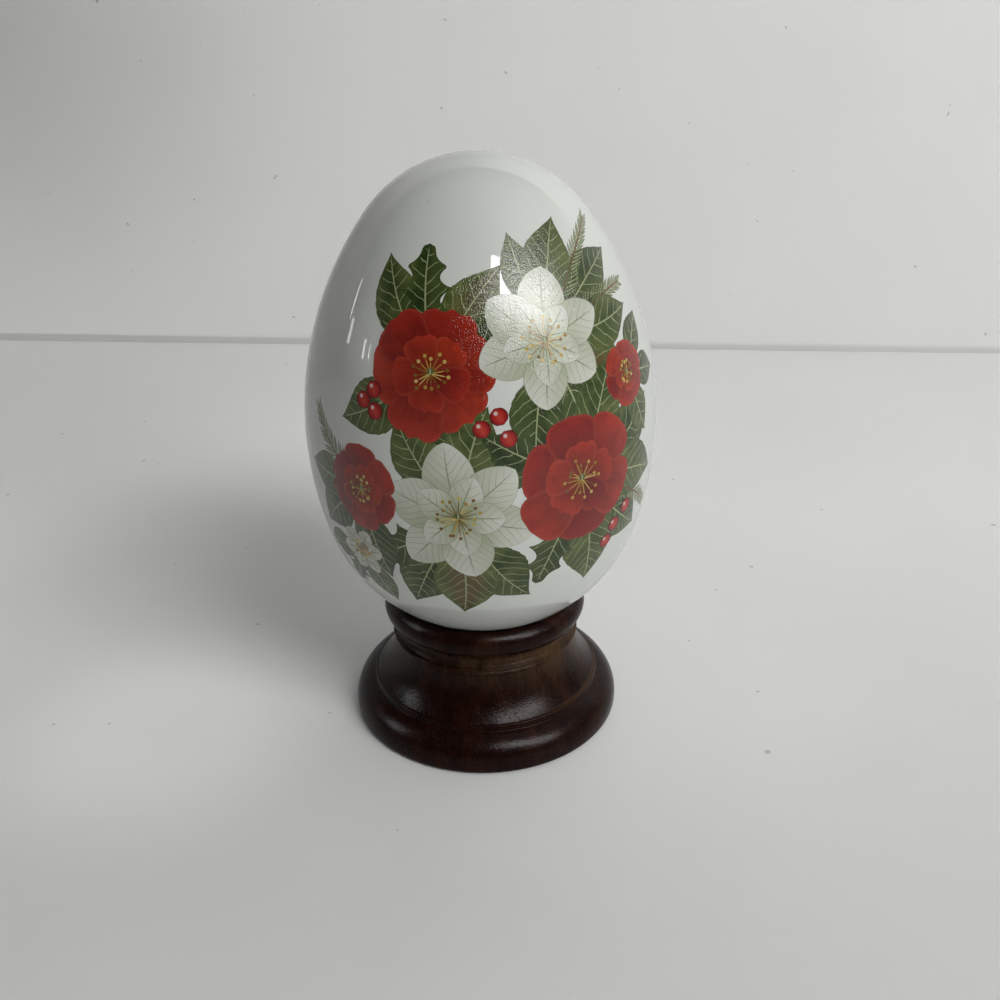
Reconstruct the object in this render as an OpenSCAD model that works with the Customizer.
// Hollow porcelain egg on a turned wooden stand.
// Millimetres, +Z up. The origin is the middle of the stand's underside, where it meets the table.
// The egg is a loose piece: its big end sits in the dished collar of the stand and lifts straight out.

/* [Egg] */
// Height of the egg, from its big end to its small end
egg_h = 102; // [88:1:120]
// Diameter of the egg round its belly
egg_w = 74.6; // [62:0.2:86]
// Thickness of the slip-cast porcelain wall
wall_t = 3.2; // [1.5:0.1:8]
// Diameter of the firing vent in the big end
vent_d = 3.6; // [2:0.1:8]
// Width of the soft bevel round the vent's mouth
vent_bevel = 0.6; // [0.2:0.1:1.5]

/* [Stand: foot and step] */
// Diameter of the stand at its widest, just above the table
foot_d = 62.2; // [56:0.2:80]
// Height of the whole foot, from the table to the step
foot_h = 8.1; // [6:0.1:14]
// Height of the upright band round the foot's widest part
foot_band_h = 2.2; // [1.4:0.1:5]
// Radius of the foot's lower edge, sanded round
foot_edge_r = 1.2; // [0.4:0.1:1.4]
// How far the foot's rounded shoulder reaches in from the band to the step
foot_shoulder_w = 4.5; // [2:0.1:6]
// How far that shoulder swells out beyond a straight bevel
foot_swell = 1.2; // [0.2:0.1:1.6]
// Height of the thin step on the foot
step_h = 1.3; // [0.4:0.1:3]
// How far the step's side leans in towards its top
step_lean = 0.4; // [0.1:0.1:1]
// Width of the flat on top of the step
step_flat_w = 0.4; // [0.1:0.1:1.5]

/* [Stand: flare, ring and neck] */
// Height of the flare, the trumpet curve above the step
flare_h = 9.7; // [6:0.1:18]
// How far the flare curves in behind a straight slope
flare_hollow = 1; // [0.2:0.1:1.8]
// Diameter of the small rounded ring above the flare
ring_d = 43.2; // [38:0.2:48]
// Height of the ring
ring_h = 1.5; // [1:0.1:3]
// How far the ring stands out from the top of the flare
ring_proud = 0.5; // [0.2:0.1:1]
// How far the ring's face swells out between its two edges
ring_swell = 0.3; // [0.1:0.05:0.5]
// Depth of the quirk, the fine groove cut between ring and neck
quirk_depth = 0.8; // [0.3:0.1:1.6]
// Width of the quirk at its mouth
quirk_w = 0.9; // [0.4:0.1:1.6]
// Diameter of the neck where it is narrowest
neck_d = 41.2; // [37:0.2:44]
// Height of the neck
neck_h = 3.2; // [2:0.1:8]
// How far the neck curves in between its two edges
neck_hollow = 0.5; // [0.1:0.1:0.9]

/* [Stand: collar and cup] */
// Diameter of the rounded collar that holds the egg
collar_d = 46.4; // [42:0.2:52]
// Radius of the collar's round section
collar_round_r = 3.6; // [3:0.1:5]
// How far the collar's round sinks into the neck
collar_sink = 0.5; // [0.2:0.1:1]
// How deep the egg sits below the top of the collar
egg_sink = 6.8; // [5.4:0.1:9]
// Gap between the porcelain and the dished seat
seat_gap = 0.25; // [0.1:0.05:0.6]
// Diameter of the flat-bottomed well bored under the egg
well_d = 31.8; // [20:0.2:36]
// Thickness of wood left under the well
well_floor_t = 14; // [5:0.5:18]

/* [Hidden] */
$fn = 128;

// Overrun of every cut past the face that it opens
overrun = 1;
// Extra radius that lets an arc cross the line it ends on, where an exact meeting would only graze it
lap = 0.001;

// The egg's outline is made of tangent arcs: a long flank, and a smaller circle at each end
// Height of the belly as a share of the egg's height
belly_share = 0.457;
// Radius of the small end as a share of the belly's radius
tip_share = 0.75;
belly_r = egg_w / 2;
belly_h = egg_h * belly_share;
tip_r = belly_r * tip_share;
tip_rise = egg_h - tip_r - belly_h;
// The flank stands upright at the belly and meets the small end's circle without a corner
flank_r = (belly_r * belly_r + tip_rise * tip_rise - tip_r * tip_r) / (2 * (belly_r - tip_r));
flank_x = belly_r - flank_r;
// The big end's circle meets the same flank without a corner and passes through the egg's lowest point
heel_r = (2 * flank_r * belly_r - belly_r * belly_r - belly_h * belly_h) / (2 * (flank_r - belly_h));
tip_angle = atan2(tip_rise, -flank_x);
heel_angle = atan2(belly_h - heel_r, -flank_x);

// Levels of the stand, stacked from the table
step_top = foot_h + step_h;
flare_top = step_top + flare_h;
ring_top = flare_top + ring_h;
neck_top = ring_top + neck_h;
collar_z = neck_top + collar_round_r - collar_sink;
collar_top = collar_z + collar_round_r;
egg_z = collar_top - egg_sink;

// Radii of the stand, worked in from the foot and out from the neck
foot_r = foot_d / 2;
step_r = foot_r - foot_shoulder_w;
flare_r = step_r - step_lean - step_flat_w;
flare_top_r = ring_d / 2 - ring_proud;
ring_edge_r = ring_d / 2 - ring_swell;
neck_edge_r = neck_d / 2 + neck_hollow;
collar_x = collar_d / 2 - collar_round_r;

// Radius of the arc from a to b that stands away from their straight line by rise
function arc_radius(a, b, rise) = (pow(norm(b - a) / 2, 2) + rise * rise) / (2 * rise);

// Centre of that arc, on the left of the way from a to b
function arc_centre(a, b, rise) =
    let (way = b - a)
    (a + b) / 2 + (arc_radius(a, b, rise) - rise) * [-way[1], way[0]] / norm(way);

// The disc whose rim is that arc
module arc_disc(a, b, rise) {
    translate(arc_centre(a, b, rise)) circle(arc_radius(a, b, rise) + lap);
}

// A rectangle against the axis, out to radius r, between two levels
module slab(r, low, high) {
    translate([0, low]) square([r, high - low]);
}

// Right half of the egg's outline, moved inwards by inset
module egg_outline(inset) {
    join_low = belly_h - (flank_r - inset) * sin(heel_angle);
    join_high = belly_h + (flank_r - inset) * sin(tip_angle);
    intersection() {
        union() {
            translate([0, heel_r]) circle(heel_r - inset + lap);
            translate([0, egg_h - tip_r]) circle(tip_r - inset + lap);
            intersection() {
                translate([flank_x, belly_h]) circle(flank_r - inset);
                slab(belly_r, join_low, join_high);
            }
        }
        slab(egg_w, -overrun, egg_h + overrun);
    }
}

// Hole that let steam out of the hollow casting in the kiln, with a bevelled mouth
module vent() {
    vent_r = vent_d / 2;
    mouth_r = vent_r + vent_bevel;
    mouth_z = heel_r - sqrt(heel_r * heel_r - mouth_r * mouth_r);
    translate([0, 0, -overrun])
        cylinder(r = vent_r, h = wall_t + 2 * overrun);
    translate([0, 0, mouth_z - overrun])
        cylinder(r1 = mouth_r + overrun, r2 = vent_r, h = vent_bevel + overrun);
}

module egg_shell() {
    color([0.9, 0.91, 0.89])
        translate([0, 0, egg_z])
        difference() {
            rotate_extrude() difference() {
                egg_outline(0);
                egg_outline(wall_t);
            }
            vent();
        }
}

// Foot: an upright band with a sanded lower edge, and a rounded shoulder up to the step
module foot_outline() {
    intersection() {
        union() {
            slab(foot_r - foot_edge_r, 0, step_top);
            slab(foot_r, foot_edge_r, step_top);
            translate([foot_r - foot_edge_r, foot_edge_r]) circle(foot_edge_r);
        }
        union() {
            slab(foot_r, 0, foot_band_h);
            slab(step_r - step_lean, 0, foot_h);
            arc_disc([foot_r, foot_band_h], [step_r, foot_h], foot_swell);
        }
    }
}

// Step: a thin fillet with a leaning side and a narrow flat on top
module step_outline() {
    polygon([[0, foot_h], [step_r, foot_h], [step_r - step_lean, step_top], [0, step_top]]);
}

// Flare: a straight slope with a trumpet curve taken out of it
module flare_outline() {
    difference() {
        polygon([[0, step_top], [flare_r, step_top], [flare_top_r, flare_top], [0, flare_top]]);
        arc_disc([flare_top_r, flare_top], [flare_r, step_top], flare_hollow);
    }
}

// Ring: a narrow band with a rounded face
module ring_outline() {
    slab(ring_edge_r, flare_top, ring_top);
    intersection() {
        slab(ring_d, flare_top, ring_top);
        arc_disc([ring_edge_r, flare_top], [ring_edge_r, ring_top], ring_swell);
    }
}

// Neck: a short drum with a shallow hollow turned into it
module neck_outline() {
    difference() {
        slab(neck_edge_r, ring_top, neck_top);
        arc_disc([neck_edge_r, neck_top], [neck_edge_r, ring_top], neck_hollow);
    }
}

// Quirk: the point of the tool plunged in where ring and neck meet
module quirk_outline() {
    mouth_r = max(ring_edge_r, neck_edge_r);
    reach = quirk_depth + overrun;
    spread = quirk_w / 2 * reach / quirk_depth;
    translate([mouth_r - quirk_depth, ring_top])
        polygon([[0, 0], [reach, -spread], [reach, spread]]);
}

// Collar: a half-round lip round a solid core
module collar_outline() {
    translate([collar_x, collar_z]) circle(collar_round_r);
    slab(collar_x, neck_top, collar_top);
}

// Everything that is hollowed out from the top: the dished seat, which follows the egg's big end, and the well
module cup_outline() {
    translate([0, egg_z + heel_r]) circle(heel_r + seat_gap);
    slab(well_d / 2, well_floor_t, egg_z + heel_r);
}

module turned_stand() {
    color([0.24, 0.13, 0.1])
        rotate_extrude() intersection() {
            difference() {
                union() {
                    foot_outline();
                    step_outline();
                    flare_outline();
                    ring_outline();
                    neck_outline();
                    collar_outline();
                }
                cup_outline();
                quirk_outline();
            }
            slab(foot_r + collar_d, 0, collar_top);
        }
}

turned_stand();
egg_shell();
